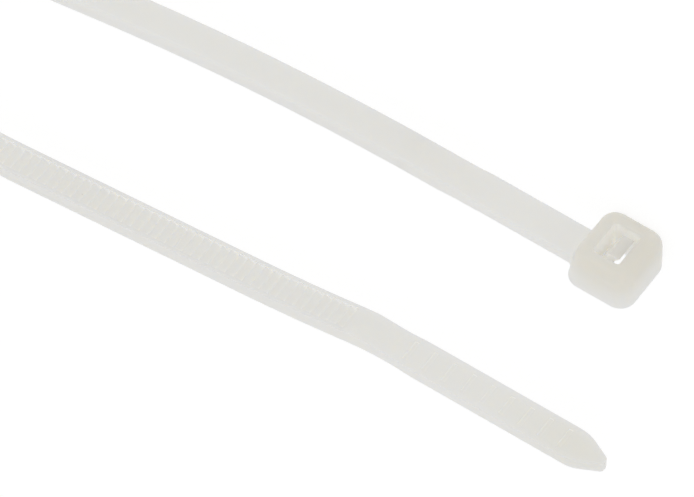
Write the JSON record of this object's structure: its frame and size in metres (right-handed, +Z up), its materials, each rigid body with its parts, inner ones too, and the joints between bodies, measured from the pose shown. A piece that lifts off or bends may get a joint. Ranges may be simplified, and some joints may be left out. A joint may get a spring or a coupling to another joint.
{
  "type": "cable tie",
  "caption": "Miniature natural nylon cable tie bent into a loose U, with a rounded locking head, pawl, toothed inner face and a thin tapered tail.",
  "frame": {"origin": "centre of the bounding box, at its base, where the head's lower side touches the surface", "axes": "+X from the bent loop towards the head, +Y from the tail strand towards the head strand, +Z up, across the strap's width"},
  "size_m": [0.0666, 0.0306, 0.0054],
  "materials": {
    "nylon": "natural, slightly translucent off-white, smooth moulded"
  },
  "bodies": {
    "root": {"cable_tie": "nylon"}
  },
  "joints": []
}
